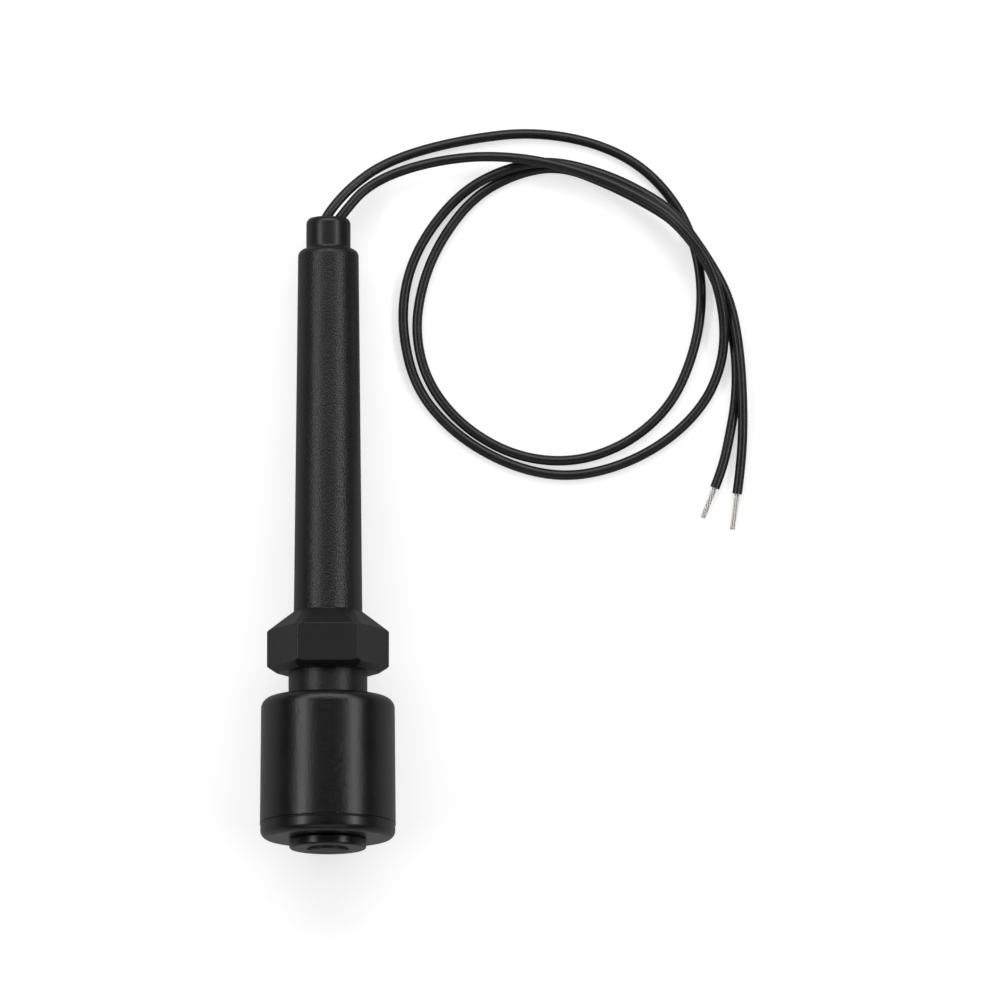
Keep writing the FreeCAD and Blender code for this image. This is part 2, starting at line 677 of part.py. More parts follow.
def rim_centre(rim_radius, far_radius, length, rounding):
    """The radius at which a rounded rim's small circle has its centre, on a drafted side."""
    draft = (far_radius.value - rim_radius.value) / length.value
    return rim_radius.value - rounding.value * (math.sqrt(1 + draft ** 2) - draft)


def resting_rims():
    """Station and radius of the small circles of the float's rim and the tube's far shoulder."""
    float_centre = rim_centre(float_top_radius, size.float_dia / 2, float_top - seam, size.float_rounding)
    tube_centre = rim_centre(tube_top_radius, size.tube_base_dia / 2, size.tube_length,
                             size.shoulder_rounding)
    float_rim = (float_top.value - size.float_rounding.value, float_centre)
    tube_rim = (tube_top.value - size.shoulder_rounding.value, tube_centre)
    return float_rim, tube_rim


def lying_angle():
    """The stem's slope when the float's rim and the tube's shoulder both touch the surface."""
    (float_station, float_centre), (tube_station, tube_centre) = resting_rims()
    along = tube_station - float_station
    across = float_centre - tube_centre
    rise = size.float_rounding.value - size.shoulder_rounding.value
    return math.atan2(across, along) + math.asin(rise / math.hypot(along, across))


def lying_placement(objects):
    """Lays the stem's frame down, foot towards -Y, centred over the origin and touching z = 0."""
    angle = lying_angle()
    turned = FreeCAD.Rotation(FreeCAD.Vector(1, 0, 0), -90 - math.degrees(angle))
    (rim_station, rim_radius), _ = resting_rims()
    height = size.float_rounding.value + rim_station * math.sin(angle) + rim_radius * math.cos(angle)
    frame = FreeCAD.Placement(FreeCAD.Vector(0, 0, height), turned)
    boxes = []
    for item in objects:
        laid = item.Shape.copy()
        laid.Placement = frame.multiply(item.Placement)
        boxes.append(laid.optimalBoundingBox(False, False))
    middle = (min(box.YMin for box in boxes) + max(box.YMax for box in boxes)) / 2
    frame.Base = FreeCAD.Vector(0, -middle, height)
    return frame


def bend(before, corner, after):
    """The tangent arc at a route's corner: its three points and its radius."""
    back = before - corner
    ahead = after - corner
    reach = BEND_SHARE * min(back.Length, ahead.Length)
    half_turn = (math.pi - back.getAngle(ahead)) / 2
    radius = reach / math.tan(half_turn)
    back.normalize()
    ahead.normalize()
    inwards = back + ahead
    inwards.normalize()
    middle = corner + inwards * (radius / math.cos(half_turn) - radius)
    return corner + back * reach, middle, corner + ahead * reach, radius


def route_wire(label, points):
    """Straight runs joined by tangent arcs; prints the arcs' radii."""
    edges = []
    radii = []
    place = points[0]
    for before, corner, after in zip(points, points[1:], points[2:]):
        start, middle, end, radius = bend(before, corner, after)
        edges.append(Part.LineSegment(place, start).toShape())
        edges.append(Part.Arc(start, middle, end).toShape())
        radii.append(radius)
        place = end
    edges.append(Part.LineSegment(place, points[-1]).toShape())
    print(label, "bend radii", " ".join("%.1f" % radius for radius in radii))
    return Part.Wire(edges)


def make_lead(label, points):
    """A lead outside the switch: a round tube along its route on the surface."""
    path = route_wire(label, points)
    radius = size.lead_dia.value / 2
    ring = Part.Wire([Part.Circle(points[0], points[1] - points[0], radius).toShape()])
    sweep = Part.BRepOffsetAPI.MakePipeShell(path)
    sweep.setTransitionMode(1)
    sweep.add(ring, False, False)
    sweep.build()
    sweep.makeSolid()
    lead = doc.addObject("Part::Feature", label)
    lead.Shape = sweep.shape()
    expected = math.pi * radius ** 2 * path.Length
    share = lead.Shape.Volume / expected
    print(label, "length %.1f mm, volume over section times length %.5f" % (path.Length, share))
    return lead


def make_bare_end(label, points, length):
    """The stripped, tinned end of a lead, straight on from its last run."""
    direction = points[-1] - points[-2]
    bare = doc.addObject("Part::Feature", label)
    bare.Shape = Part.makeCylinder(size.core_dia.value / 2, length.value, points[-1], direction)
    return bare


def lead_points(frame, across, route):
    """A lead's route: straight out of the bush's mouth, then the chosen points."""
    exit_point = frame.multVec(FreeCAD.Vector(across, 0, mouth_floor.value))
    leaning_point = frame.multVec(FreeCAD.Vector(across, 0, mouth_floor.value + FIRST_RUN))
    return [exit_point, leaning_point] + [FreeCAD.Vector(*point) for point in route]


def check_and_write(pieces):
    """Stops on any failed object, then writes each sub-part to its own file."""
    for item in doc.Objects:
        if "Invalid" in item.State or "Error" in item.State:
            raise RuntimeError("%s failed: %s" % (item.Label, item.State))
    os.makedirs("parts", exist_ok=True)
    for piece in pieces:
        if piece.Shape.isNull() or not piece.Shape.isValid():
            raise RuntimeError("%s has no valid shape" % piece.Label)
        piece.Shape.exportStep("parts/%s.step" % piece.Label)
    print(len(pieces), "sub-parts written")


def main():
    housing = make_stem_housing()
    ring = make_retaining_ring()
    shell = make_float_shell()
    cap = make_float_cap()
    bush = make_lead_bush()
    centred = [housing, ring, shell, cap, make_ring_magnet(), bush, make_potting(), *make_lower_splice()]
    on_left_line = [make_reed_glass(), *make_reed_blades(), *make_upper_splice()]
    on_left_line += make_inner_lead("left", left_inner_start, joint_middle)
    on_right_line = make_inner_lead("right", right_inner_start, splice_start)
    doc.recompute()

    frame = lying_placement([housing, ring, shell, cap, bush])
    lead_shift = lead_side.value
    for pieces, across in ((centred, 0), (on_left_line, -lead_shift), (on_right_line, lead_shift)):
        aside = FreeCAD.Placement(FreeCAD.Vector(across, 0, 0), FreeCAD.Rotation())
        for piece in pieces:
            piece.Placement = frame.multiply(aside)

    left_points = lead_points(frame, -lead_shift, LEFT_ROUTE)
    right_points = lead_points(frame, lead_shift, RIGHT_ROUTE)
    leads = [
        make_lead("left_lead", left_points),
        make_lead("right_lead", right_points),
        make_bare_end("left_lead_bare_end", left_points, size.left_strip),
        make_bare_end("right_lead_bare_end", right_points, size.right_strip),
    ]
    doc.recompute()
    check_and_write(centred + on_left_line + on_right_line + leads)
    print("stem slope %.3f degrees, frame base %s" % (math.degrees(lying_angle()), frame.Base))


main()
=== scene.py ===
"""The looks of a float level switch lying on its side: black plastic, leads and bare strands."""

import math

import bpy
from mathutils import Euler, Matrix, Vector


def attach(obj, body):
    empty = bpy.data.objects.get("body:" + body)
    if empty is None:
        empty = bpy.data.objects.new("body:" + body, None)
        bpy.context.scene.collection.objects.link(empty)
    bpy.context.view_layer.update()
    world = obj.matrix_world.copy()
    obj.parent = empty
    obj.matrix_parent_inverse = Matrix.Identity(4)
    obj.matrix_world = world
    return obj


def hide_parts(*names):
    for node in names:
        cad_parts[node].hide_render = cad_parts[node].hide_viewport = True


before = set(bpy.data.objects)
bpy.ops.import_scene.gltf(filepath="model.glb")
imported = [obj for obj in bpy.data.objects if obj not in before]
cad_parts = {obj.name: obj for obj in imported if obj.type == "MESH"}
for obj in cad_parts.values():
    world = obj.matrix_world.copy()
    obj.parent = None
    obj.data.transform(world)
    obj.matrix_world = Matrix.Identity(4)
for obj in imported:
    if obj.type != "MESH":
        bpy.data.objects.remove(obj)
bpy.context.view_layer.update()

MM = 0.001

# The stem's own line: where its foot is, and which way it runs towards the leads.
SLOPE = math.radians(4.553)
FOOT = Vector((0, -58.314, 14.2685)) * MM
STEM_LINE = Vector((0, math.cos(SLOPE), -math.sin(SLOPE)))

# Stations along the stem, from its foot, between which the moulding's finish changes.
COLLAR_START = 26.0 * MM
LEDGE = 32.85 * MM
TAPER_END = 44.1 * MM

# How far the finish takes to change there.
COLLAR_BLEND = 0.2 * MM
TAPER_BLEND = 0.3 * MM

# The leads: insulation, core, bare length and the length of each route, in metres.
LEAD_DIAMETER = 1.8 * MM
CORE_DIAMETER = 0.95 * MM
LEFT_STRIP = 6.1 * MM
RIGHT_STRIP = 6.8 * MM
LEFT_LENGTH = 0.298
RIGHT_LENGTH = 0.307
LEAD_STEPS = 12
LEAD_ROUNDNESS = 8

# The bare ends: six strands twisted round a middle one, each a little thinner than its share of the
# core, and cut a little unevenly. The seeds choose which strands are shorter.
OUTER_STRANDS = 6
STRAND_SHARE = 0.90
STRAND_UNEVENNESS = 0.25 * MM
STRAND_STEPS = 40
STRAND_SIDES = 12
LEFT_TURNS = 0.65
RIGHT_TURNS = 0.72
MIDDLE_SEED = 3
OUTER_SEED = 5

# Each lead's route on the surface, in millimetres: out of the bush's mouth, round the loop, and to
# its bare end. REST is the height of its middle where it lies flat.
REST = 0.92
LEFT_ROUTE = [
    (-1.15, 55.32, 5.22), (-1.15, 57.26, 5.06),
    (0.6, 60.3, 4.7), (4.2, 64.4, 3.7), (9.3, 68.3, 2.3), (16.6, 71.3, 1.1),
    (26.3, 73.5, REST), (36.7, 74.7, REST), (47.9, 73.1, REST), (57.3, 68.7, REST),
    (64.2, 61.0, REST), (67.7, 52.2, REST), (68.5, 43.0, REST), (66.8, 33.5, REST),
    (62.7, 24.3, REST), (55.1, 17.5, REST), (45.3, 13.9, REST), (34.7, 14.8, REST),
    (25.1, 20.0, REST), (18.3, 28.0, REST), (15.8, 37.4, REST), (17.1, 46.9, REST),
    (20.7, 55.2, REST), (26.8, 63.0, REST), (34.7, 67.2, REST), (42.6, 68.5, REST),
    (51.6, 64.9, 1.4), (58.9, 61.0, 2.5), (63.8, 57.7, 3.1), (69.1, 50.9, 2.8),
    (72.0, 44.5, 1.2), (74.5, 36.1, REST), (74.8, 26.5, REST), (73.1, 17.0, REST),
    (71.9, 12.3, REST), (70.7, 9.3, REST),
]
RIGHT_ROUTE = [
    (1.15, 55.32, 5.22), (1.15, 57.26, 5.06),
    (3.5, 60.3, 5.0), (6.5, 63.8, 4.6), (11.7, 66.8, 4.1), (19.7, 69.1, 4.0),
    (29.0, 70.1, 4.3), (39.7, 69.0, 4.8), (50.8, 65.5, 4.9), (60.2, 60.6, 6.0),
    (64.4, 57.0, 7.0), (69.5, 50.5, 6.7), (71.7, 44.3, 5.3), (72.6, 37.9, 3.3),
    (71.9, 31.5, 1.2), (68.8, 24.5, REST), (62.1, 17.8, REST), (53.2, 13.1, REST),
    (43.4, 11.1, REST), (33.3, 13.2, REST), (23.3, 18.9, REST), (16.0, 27.3, REST),
    (13.4, 38.1, REST), (14.1, 47.6, REST), (17.8, 56.0, REST), (24.5, 63.8, 1.2),
    (32.2, 67.8, 2.5), (40.6, 69.4, 2.8), (50.8, 66.8, 2.8), (58.9, 62.7, 3.7),
    (64.0, 58.8, 4.9), (69.5, 51.1, 4.7), (73.4, 44.1, 3.1), (75.2, 35.2, 2.8),
    (75.9, 24.2, 2.4), (75.7, 14.8, REST), (74.8, 8.2, REST),
]

# The black plastic's two shades, which drift into each other.
PLASTIC_DARK = (0.0042, 0.0042, 0.0045)
PLASTIC_LIGHT = (0.0062, 0.0062, 0.0066)

# The moulding's grain: how wide a pebble is, and how much it is squeezed along the stem.
GRAIN_SIZE = 0.32 * MM
GRAIN_SQUEEZE = 1.35

# The floor: its paint as light meets it and as the camera sees it, and its glow to the camera and
# in reflections.
FLOOR_WIDTH = 3.0
FLOOR_PAINT = 0.42
FLOOR_SEEN_PAINT = 0.72
FLOOR_GLOW = 0.56
FLOOR_MIRRORED_GLOW = 0.04

# The surround, the lamps' aim and distance, and the camera.
SURROUND_STRENGTH = 0.05
LAMP_TARGET = Vector((0, 0, 0.01))
LAMP_DISTANCE = 0.9
CAMERA_TARGET = Vector((31.4, 7.05, 0.9)) * MM
CAMERA_ELEVATION = 85.2
CAMERA_DISTANCE = 5.0
FRAME_WIDTH = 183.0 * MM
SENSOR_WIDTH = 36
WHITE = (1, 1, 1, 1)

# Two long side softboxes, mirrored as bands along the switch, and one each beyond leads and foot:
# name, lean to the right, tip towards the leads, width and length, and power.
SOFTBOXES = [
    ("left_softbox", -45, 0, (0.15, 0.9), 2.7),
    ("right_softbox", 47, 0, (0.15, 0.9), 2.7),
    ("back_softbox", 0, 48, (1.3, 0.6), 6.0),
    ("front_softbox", 0, -60, (0.9, 0.4), 0.8),
]


class Wire:
    """A shader socket that takes Python's arithmetic; each operation adds its Math node."""

    def __init__(self, finish, socket):
        self.finish = finish
        self.socket = socket

    def math(self, operation, *values):
        """One Math node on this finish's sockets or plain numbers."""
        return self.finish.node("Math", {"operation": operation}, dict(enumerate(values)))

    def __add__(self, other):
        return self.math("ADD", self, other)

    def __radd__(self, other):
        return self.math("ADD", other, self)

    def __sub__(self, other):
        return self.math("SUBTRACT", self, other)

    def __rsub__(self, other):
        return self.math("SUBTRACT", other, self)

    def __mul__(self, other):
        return self.math("MULTIPLY", self, other)

    def __rmul__(self, other):
        return self.math("MULTIPLY", other, self)

    def clamped(self):
        """The same value, held between 0 and 1."""
        return self.finish.node("Clamp", {}, {0: self})

    def between(self, low, high):
        """0 below low and 1 above high, with a smooth step between."""
        settings = {"interpolation_type": "SMOOTHSTEP"}
        return self.finish.node("MapRange", settings, {0: self, 1: low, 2: high})


class Finish:
    """A procedural material whose nodes are all made by one method."""

    def __init__(self, name):
        self.material = bpy.data.materials.new(name)
        self.material.use_nodes = True
        self.nodes = self.material.node_tree.nodes
        self.links = self.material.node_tree.links
        self.nodes.clear()

    def node(self, kind, settings=None, values=None, output=0):
        """Adds a node: its settings first, then its sockets' values or links. Gives one output."""
        made = self.nodes.new("ShaderNode" + kind)
        for name, setting in (settings or {}).items():
            setattr(made, name, setting)
        for socket, value in (values or {}).items():
            if isinstance(value, Wire):
                self.links.new(value.socket, made.inputs[socket])
            else:
                made.inputs[socket].default_value = value
        return Wire(self, made.outputs[output])

    def place(self):
        """The point on the piece, in the object's own frame."""
        return self.node("TexCoord", output="Object")

    def grain_place(self):
        """The point, stretched along the stem, so that the grain is squeezed that way."""
        settings = {"operation": "MULTIPLY"}
        return self.node("VectorMath", settings, {0: self.place(), 1: (1, GRAIN_SQUEEZE, 1)})

    def station(self):
        """How far along the stem's line a point is, from the foot."""
        away = self.node("VectorMath", {"operation": "SUBTRACT"}, {0: self.place(), 1: FOOT})
        settings = {"operation": "DOT_PRODUCT"}
        return self.node("VectorMath", settings, {0: away, 1: STEM_LINE}, output="Value")

    def noise(self, size, detail=2.0, roughness=0.5, place=None):
        """Soft noise whose features are about the given size, in metres."""
        values = {
            "Vector": place or self.place(), "Scale": 1 / size, "Detail": detail,
            "Roughness": roughness,
        }
        return self.node("TexNoise", {"noise_dimensions": "3D"}, values)

    def pebbles(self, size, place=None):
        """Distance from the nearest of many scattered points, each the middle of a pebble."""
        values = {"Vector": place or self.place(), "Scale": 1 / size}
        return self.node("TexVoronoi", {"feature": "F1"}, values)

    def colour(self, mask, first, second):
        """The first colour where the mask is 0 and the second where it is 1."""
        settings = {"data_type": "RGBA"}
        firsts = first if isinstance(first, Wire) else (*first, 1)
        seconds = second if isinstance(second, Wire) else (*second, 1)
        return self.node("Mix", settings, {0: mask, 6: firsts, 7: seconds}, output=2)

    def moulded_grain(self):
        """The height field of a spark-eroded mould: small pebbles, made uneven by noise."""
        place = self.grain_place()
        fine = self.noise(GRAIN_SIZE, detail=2, place=place)
        return (1 - self.pebbles(GRAIN_SIZE, place)) * 0.5 + fine * 0.8

    def openness(self, reach):
        """1 on open surface, and less in the piece's own crevices narrower than the reach; used to
        paint shade into a colour.
        """
        settings = {"samples": 8, "only_local": True}
        return self.node("AmbientOcclusion", settings, {"Distance": reach}, output="AO")

    def bump(self, height, distance, normal=None):
        """A normal roughened by a height field, the height's unit given in metres."""
        values = {"Height": height, "Distance": distance}
        if normal is not None:
            values["Normal"] = normal
        return self.node("Bump", {}, values)

    def soft_edges(self, radius):
        """A normal that rounds the piece's sharp edges."""
        return self.node("Bevel", {"samples": 6}, {"Radius": radius})

    def ray(self, kind):
        """1 for rays of this kind: Camera, Glossy or Transmission."""
        return self.node("LightPath", output="Is " + kind + " Ray")

    def surface(self, **sockets):
        """Ends the material in one Principled shader. A name's underscore stands for a space."""
        named = {name.replace("_", " "): value for name, value in sockets.items()}
        shader = self.node("BsdfPrincipled", {}, named)
        self.output(shader)
        return self.material

    def output(self, shader):
        """Sends a finished shader to the material's surface."""
        end = self.nodes.new("ShaderNodeOutputMaterial")
        self.links.new(shader.socket, end.inputs["Surface"])


def moulded_stem_finish():
    """Black moulded plastic: pebbled collar and tube, smooth thin stem and hexagon."""
    finish = Finish("moulded_stem_black")
    station = finish.station()
    past_collar_start = station.between(COLLAR_START - COLLAR_BLEND, COLLAR_START)
    past_ledge = station.between(LEDGE, LEDGE + COLLAR_BLEND)
    tube = station.between(TAPER_END - TAPER_BLEND, TAPER_END + TAPER_BLEND)
    grained = (past_collar_start * (1 - past_ledge) + tube).clamped()
    grain = finish.moulded_grain()
    smooth = finish.noise(0.5 * MM, detail=4, roughness=0.6) * 0.35
    height = grain * grained + smooth * (1 - grained)
    cloud = finish.noise(6 * MM, detail=4, roughness=0.6)
    colour = finish.colour(cloud.between(0.35, 0.65), PLASTIC_DARK, PLASTIC_LIGHT)
    roughness = 0.30 + grain * 0.04 + cloud * 0.06 + (1 - grained) * 0.05
    normal = finish.bump(height, 0.062 * MM, normal=finish.soft_edges(0.22 * MM))
    return finish.surface(Base_Color=colour, Roughness=roughness, Normal=normal)


def moulded_float_finish():
    """Black moulded plastic with the same pebbled grain as the tube."""
    finish = Finish("moulded_float_black")
    grain = finish.moulded_grain()
    cloud = finish.noise(7 * MM, detail=4, roughness=0.6)
    colour = finish.colour(cloud.between(0.35, 0.65), PLASTIC_DARK, PLASTIC_LIGHT)
    roughness = 0.20 + grain * 0.04 + cloud * 0.05
    normal = finish.bump(grain, 0.050 * MM, normal=finish.soft_edges(0.10 * MM))
    return finish.surface(Base_Color=colour, Roughness=roughness, Normal=normal)


def smooth_moulded_finish(name, roughness_base):
    """Black moulded plastic from a polished mould, with faint flow marks."""
    finish = Finish(name)
    flow = finish.noise(1.6 * MM, detail=4, roughness=0.6)
    fine = finish.noise(0.25 * MM, detail=2)
    colour = finish.colour(flow.between(0.3, 0.7), PLASTIC_DARK, PLASTIC_LIGHT)
    roughness = roughness_base + flow * 0.08
    normal = finish.bump(flow * 0.5 + fine * 0.1, 0.005 * MM, normal=finish.soft_edges(0.10 * MM))
    return finish.surface(Base_Color=colour, Roughness=roughness, Normal=normal)


def insulation_finish():
    """Charcoal extruded insulation: a soft sheen that drifts, and a fine unevenness."""
    finish = Finish("lead_insulation_charcoal")
    drift = finish.noise(2.5 * MM, detail=3)
    fine = finish.noise(0.2 * MM, detail=3, roughness=0.6)
    dark, light = (0.0085, 0.0085, 0.0092), (0.0125, 0.0125, 0.0133)
    colour = finish.colour(drift.between(0.3, 0.7), dark, light)
    roughness = 0.30 + drift * 0.06 + fine * 0.04
    normal = finish.bump(fine, 0.008 * MM)
    return finish.surface(Base_Color=colour, Roughness=roughness, Normal=normal)


def strand_finish():
    """Tinned copper strands: pale, uneven where the tin thins, with painted shade in the gaps
    between them.
    """
    finish = Finish("tinned_strands_pale")
    tin = finish.noise(0.5 * MM, detail=3)
    scratch = finish.noise(0.08 * MM, detail=2)
    tin_colour = finish.colour(tin.between(0.45, 0.75), (0.80, 0.78, 0.74), (0.72, 0.67, 0.61))
    # Painted shade: the colour turns nearly black in the strands' own narrow crevices, where
    # ambient occlusion finds them closed in.
    painted_shade_mask = finish.openness(0.15 * MM).between(0.45, 0.9)
    colour = finish.colour(painted_shade_mask, (0.03, 0.027, 0.024), tin_colour)
    roughness = 0.28 + tin * 0.12
    normal = finish.bump(scratch, 0.004 * MM)
    return finish.surface(Base_Color=colour, Metallic=0.55, Roughness=roughness, Normal=normal)


def resin_finish():
    """Cast black resin, glossy, with slow waves where it set."""
    finish = Finish("potting_resin_black")
    wave = finish.noise(3 * MM, detail=2)
    colour = finish.colour(wave, (0.014, 0.013, 0.012), (0.022, 0.020, 0.018))
    normal = finish.bump(wave, 0.03 * MM)
    return finish.surface(Base_Color=colour, Roughness=0.16 + wave * 0.08, Normal=normal)


def ferrite_finish():
    """Sintered ferrite: dull dark grey with fine pores."""
    finish = Finish("magnet_ferrite_grey")
    pores = finish.pebbles(0.25 * MM)
    cloud = finish.noise(2 * MM, detail=4)
    colour = finish.colour(cloud, (0.040, 0.038, 0.037), (0.065, 0.062, 0.060))
    normal = finish.bump(pores, 0.02 * MM, normal=finish.soft_edges(0.1 * MM))
    return finish.surface(Base_Color=colour, Roughness=0.62 + pores * 0.2, Normal=normal)


def capsule_finish():
    """Clear green-tinted glass, wavy where its ends were melted."""
    finish = Finish("reed_capsule_glass")
    wave = finish.noise(1.5 * MM, detail=1)
    normal = finish.bump(wave, 0.02 * MM)
    colour = finish.colour(wave, (0.50, 0.72, 0.56), (0.56, 0.76, 0.62))
    roughness = 0.05 + wave * 0.04
    return finish.surface(Base_Color=colour, Roughness=roughness, Alpha=0.35, Normal=normal)


def plated_finish(name, light, dark, roughness_base):
    """Plated wire or crimp: bright metal with fine drawing marks."""
    finish = Finish(name)
    marks = finish.noise(0.15 * MM, detail=3)
    colour = finish.colour(marks.between(0.35, 0.7), light, dark)
    normal = finish.bump(marks, 0.006 * MM)
    roughness = roughness_base + marks * 0.12
    return finish.surface(Base_Color=colour, Metallic=1.0, Roughness=roughness, Normal=normal)


def sleeve_finish():
    """Shrunk black sleeve: satin, puckered round the splice."""
    finish = Finish("shrink_sleeve_black")
    pucker = finish.noise(0.6 * MM, detail=3)
    colour = finish.colour(pucker, (0.016, 0.016, 0.017), (0.024, 0.024, 0.025))
    normal = finish.bump(pucker, 0.03 * MM)
    return finish.surface(Base_Color=colour, Roughness=0.38 + pucker * 0.12, Normal=normal)


def dress_nodes(finishes):
    """Gives every CAD node its finish; its shape stays as it is."""
    for node, material in finishes.items():
        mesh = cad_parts[node].data
        mesh.materials.clear()
        mesh.materials.append(material)


def lead_curve(name, route, material):
    """A lead as one smooth curve through its route, as thick as its insulation."""
    curve = bpy.data.curves.new(name, "CURVE")
    curve.dimensions = "3D"
    curve.resolution_u = LEAD_STEPS
    curve.bevel_depth = LEAD_DIAMETER / 2
    curve.bevel_resolution = LEAD_ROUNDNESS
    curve.use_fill_caps = True
    spline = curve.splines.new("NURBS")
    spline.points.add(len(route) - 1)
    for point, place in zip(spline.points, route):
        point.co = (*(Vector(place) * MM), 1)
    spline.order_u = 3
    spline.use_endpoint_u = True
    curve.materials.append(material)
    lead = bpy.data.objects.new(name, curve)
    bpy.context.scene.collection.objects.link(lead)
    return lead


def strand_tree(material):
    """Geometry Nodes for a ring of twisted strands: one helix, repeated round the bundle's line.

    Gives the tree and the identifier of each of its named inputs.
    """
    tree = bpy.data.node_groups.new("twisted_strands", "GeometryNodeTree")
    sockets = {}
    for name, kind in [
        ("Strands", "NodeSocketInt"), ("Strand Radius", "NodeSocketFloat"),
        ("Ring Radius", "NodeSocketFloat"), ("Turns", "NodeSocketFloat"),
        ("Length", "NodeSocketFloat"), ("Unevenness", "NodeSocketFloat"),
        ("Seed", "NodeSocketInt"),
    ]:
        sockets[name] = tree.interface.new_socket(name, in_out="INPUT", socket_type=kind)
    tree.interface.new_socket("Geometry", in_out="OUTPUT", socket_type="NodeSocketGeometry")

    def add(kind, values=None, settings=None):
        """Adds a node: its settings first, then its sockets' values or links."""
        made = tree.nodes.new(kind)
        for name, setting in (settings or {}).items():
            setattr(made, name, setting)
        for socket, value in (values or {}).items():
            if isinstance(value, bpy.types.NodeSocket):
                tree.links.new(value, made.inputs[socket])
            else:
                made.inputs[socket].default_value = value
        return made

    def maths(operation, first, second):
        """One Math node on two values or sockets."""
        return add("ShaderNodeMath", {0: first, 1: second}, {"operation": operation}).outputs[0]

    given = add("NodeGroupInput").outputs
    helix = add("GeometryNodeCurveSpiral", {
        "Resolution": STRAND_STEPS, "Rotations": given["Turns"],
        "Start Radius": given["Ring Radius"], "End Radius": given["Ring Radius"],
        "Height": given["Length"],
    })
    section = add("GeometryNodeCurvePrimitiveCircle", {
        "Resolution": STRAND_SIDES, "Radius": given["Strand Radius"],
    })
    strand = add("GeometryNodeCurveToMesh", {
        "Curve": helix.outputs[0], "Profile Curve": section.outputs[0], "Fill Caps": True,
    })
    ring = add("GeometryNodePoints", {"Count": given["Strands"]})
    index = add("GeometryNodeInputIndex").outputs[0]
    angle = maths("MULTIPLY", maths("DIVIDE", index, given["Strands"]), math.tau)
    turn = add("ShaderNodeCombineXYZ", {"Z": angle}).outputs[0]
    random = add("FunctionNodeRandomValue", {"Seed": given["Seed"]}, {"data_type": "FLOAT"})
    slip = maths("MULTIPLY", random.outputs[1], given["Unevenness"])
    shift = add("ShaderNodeCombineXYZ", {"Z": maths("MULTIPLY", slip, -1.0)}).outputs[0]
    moved = add("GeometryNodeSetPosition", {"Geometry": ring.outputs[0], "Offset": shift})
    copies = add("GeometryNodeInstanceOnPoints", {
        "Points": moved.outputs[0], "Instance": strand.outputs[0], "Rotation": turn,
    })
    real = add("GeometryNodeRealizeInstances", {"Geometry": copies.outputs[0]})
    painted = add("GeometryNodeSetMaterial", {"Geometry": real.outputs[0], "Material": material})
    add("NodeGroupOutput", {"Geometry": painted.outputs[0]})
    return tree, {name: socket.identifier for name, socket in sockets.items()}


def grown(name, tree, names, sizes):
    """The plain mesh that a tree makes with these sizes."""
    maker = bpy.data.objects.new(name + "_maker", bpy.data.meshes.new(name + "_maker"))
    bpy.context.scene.collection.objects.link(maker)
    modifier = maker.modifiers.new("grow", "NODES")
    modifier.node_group = tree
    for label, value in sizes.items():
        modifier[names[label]] = value
    depsgraph = bpy.context.evaluated_depsgraph_get()
    mesh = bpy.data.meshes.new_from_object(maker.evaluated_get(depsgraph))
    maker.modifiers.remove(modifier)
    bpy.data.objects.remove(maker)
    return mesh


def bare_end(name, route, length, turns, tree, names):
    """Seven twisted strands, straight on from a lead's last run. Three lie across the core."""
    strand_radius = CORE_DIAMETER / 6
    common = {
        "Strand Radius": strand_radius * STRAND_SHARE, "Length": length,
        "Unevenness": STRAND_UNEVENNESS,
    }
    middle = grown(name + "_middle", tree, names, {
        **common, "Strands": 1, "Ring Radius": 0.0, "Turns": 0.0, "Seed": MIDDLE_SEED,
    })
    outer = grown(name + "_outer", tree, names, {
        **common, "Strands": OUTER_STRANDS, "Ring Radius": strand_radius * 2, "Turns": turns,
        "Seed": OUTER_SEED,
    })
    start = Vector(route[-1]) * MM
    direction = (start - Vector(route[-2]) * MM).normalized()
    laid = Matrix.Translation(start) @ direction.to_track_quat("Z", "Y").to_matrix().to_4x4()
    parts = []
    for mesh in (middle, outer):
        mesh.transform(laid)
        part = bpy.data.objects.new(name, mesh)
        bpy.context.scene.collection.objects.link(part)
        parts.append(part)
    with bpy.context.temp_override(active_object=parts[0], selected_editable_objects=parts):
        bpy.ops.object.join()
    bundle = parts[0]
    bundle.name = name
    bundle.data.polygons.foreach_set("use_smooth", [True] * len(bundle.data.polygons))
    return bundle


def lay_lead(name, route, strip, turns, insulation, tree, names):
    """A lead and its bare end, which stand for their CAD solids and move with the housing."""
    bundle = bare_end(name + "_strands", route, strip, turns, tree, names)
    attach(bundle, "housing")
    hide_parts(name + "_bare_end")
    lead = lead_curve(name + "_insulation", route, insulation)
    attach(lead, "housing")
    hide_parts(name)


def studio_floor():
    """A pale floor: white to the camera except in the switch's shade, softer in reflections."""
    finish = Finish("studio_floor_white")
    camera_ray = finish.ray("Camera")
    mirrored = finish.ray("Glossy") + finish.ray("Transmission")
    shade = camera_ray * (FLOOR_SEEN_PAINT - FLOOR_PAINT) + FLOOR_PAINT
    paint = finish.node("BsdfDiffuse", {}, {"Color": shade})
    strength = camera_ray * FLOOR_GLOW + mirrored * FLOOR_MIRRORED_GLOW
    glow = finish.node("Emission", {}, {"Color": WHITE, "Strength": strength})
    finish.output(finish.node("AddShader", {}, {0: paint, 1: glow}))
    mesh = bpy.data.meshes.new("studio_floor")
    half = FLOOR_WIDTH / 2
    corners = [(-half, -half, 0), (half, -half, 0), (half, half, 0), (-half, half, 0)]
    mesh.from_pydata(corners, [], [(0, 1, 2, 3)])
    mesh.materials.append(finish.material)
    floor = bpy.data.objects.new("studio_floor", mesh)
    bpy.context.scene.collection.objects.link(floor)


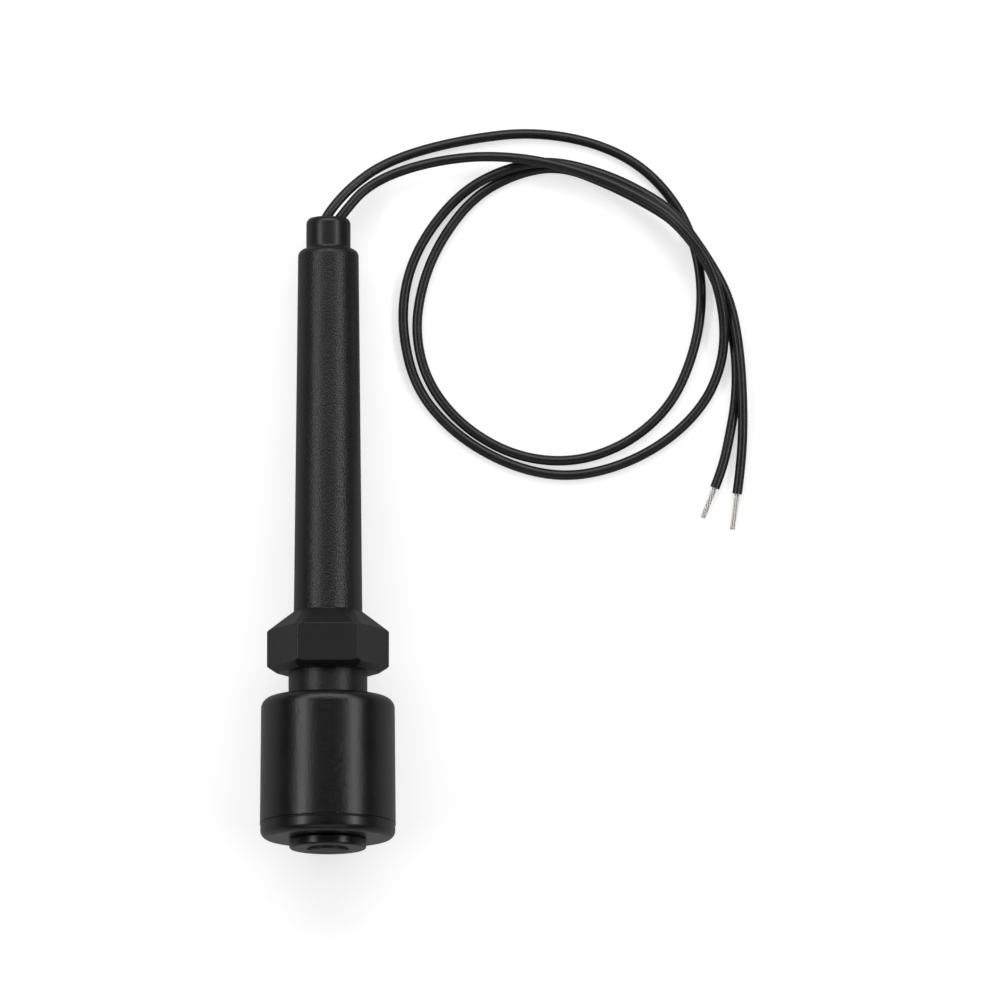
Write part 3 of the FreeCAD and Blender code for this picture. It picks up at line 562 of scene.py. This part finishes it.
def studio_world():
    """A surround that is white to the camera and a dim soft grey to the switch."""
    world = bpy.data.worlds.new("studio_surround")
    bpy.context.scene.world = world
    world.use_nodes = True
    nodes = world.node_tree.nodes
    links = world.node_tree.links
    nodes.clear()
    rays = nodes.new("ShaderNodeLightPath")
    grey = nodes.new("ShaderNodeBackground")
    grey.inputs["Strength"].default_value = SURROUND_STRENGTH
    white = nodes.new("ShaderNodeBackground")
    for shader in (grey, white):
        shader.inputs["Color"].default_value = WHITE
    mix = nodes.new("ShaderNodeMixShader")
    end = nodes.new("ShaderNodeOutputWorld")
    links.new(rays.outputs["Is Camera Ray"], mix.inputs[0])
    links.new(grey.outputs[0], mix.inputs[1])
    links.new(white.outputs[0], mix.inputs[2])
    links.new(mix.outputs[0], end.inputs[0])


def softbox(name, lean, tip, size, power):
    """A rectangular lamp aimed at the switch: lean and tip in degrees, size in metres."""
    lamp = bpy.data.lights.new(name, "AREA")
    lamp.shape = "RECTANGLE"
    lamp.size, lamp.size_y = size
    lamp.energy = power
    turned = Euler((math.radians(-tip), math.radians(lean), 0))
    away = Vector((0, 0, LAMP_DISTANCE))
    away.rotate(turned)
    holder = bpy.data.objects.new(name, lamp)
    holder.location = LAMP_TARGET + away
    holder.rotation_euler = turned
    bpy.context.scene.collection.objects.link(holder)


def photograph_camera():
    """The camera high above the switch, tipped a little towards its foot."""
    elevation = math.radians(CAMERA_ELEVATION)
    away = Vector((0, -math.cos(elevation), math.sin(elevation)))
    lens = bpy.data.cameras.new("photograph_camera")
    lens.sensor_width = SENSOR_WIDTH
    lens.lens = SENSOR_WIDTH * CAMERA_DISTANCE / FRAME_WIDTH
    camera = bpy.data.objects.new("photograph_camera", lens)
    camera.location = CAMERA_TARGET + away * CAMERA_DISTANCE
    camera.rotation_euler = Euler((math.pi / 2 - elevation, 0, 0))
    bpy.context.scene.collection.objects.link(camera)
    bpy.context.scene.camera = camera


def main():
    """Sets up the studio, finishes the CAD nodes, and lays the two leads."""
    bpy.context.scene.view_settings.view_transform = "Standard"
    photograph_camera()
    studio_world()
    studio_floor()
    for softbox_row in SOFTBOXES:
        softbox(*softbox_row)

    insulation = insulation_finish()
    strands = strand_finish()
    sleeve = sleeve_finish()
    reed = plated_finish("reed_plating", (0.62, 0.60, 0.56), (0.50, 0.48, 0.45), 0.26)
    crimp = plated_finish("tinned_crimp_metal", (0.60, 0.59, 0.56), (0.48, 0.46, 0.43), 0.34)
    smooth = smooth_moulded_finish("smooth_moulded_black", 0.26)
    dress_nodes({
        "stem_housing": moulded_stem_finish(),
        "float_shell": moulded_float_finish(),
        "float_cap": smooth,
        "retaining_ring": smooth,
        "lead_bush": smooth_moulded_finish("glossy_bush_black", 0.32),
        "potting_compound": resin_finish(),
        "ring_magnet": ferrite_finish(),
        "reed_glass": capsule_finish(),
        "reed_blade_lower": reed,
        "reed_blade_upper": reed,
        "lower_splice": crimp,
        "upper_splice": crimp,
        "lower_splice_sleeve": sleeve,
        "upper_splice_sleeve": sleeve,
        "left_lead_inner_insulation": insulation,
        "right_lead_inner_insulation": insulation,
        "left_lead_inner_core": strands,
        "right_lead_inner_core": strands,
    })
    tree, names = strand_tree(strands)
    for name, route, length, strip, turns in [
        ("left_lead", LEFT_ROUTE, LEFT_LENGTH, LEFT_STRIP, LEFT_TURNS),
        ("right_lead", RIGHT_ROUTE, RIGHT_LENGTH, RIGHT_STRIP, RIGHT_TURNS),
    ]:
        lay_lead(name, route, strip, turns, insulation, tree, names)


main()
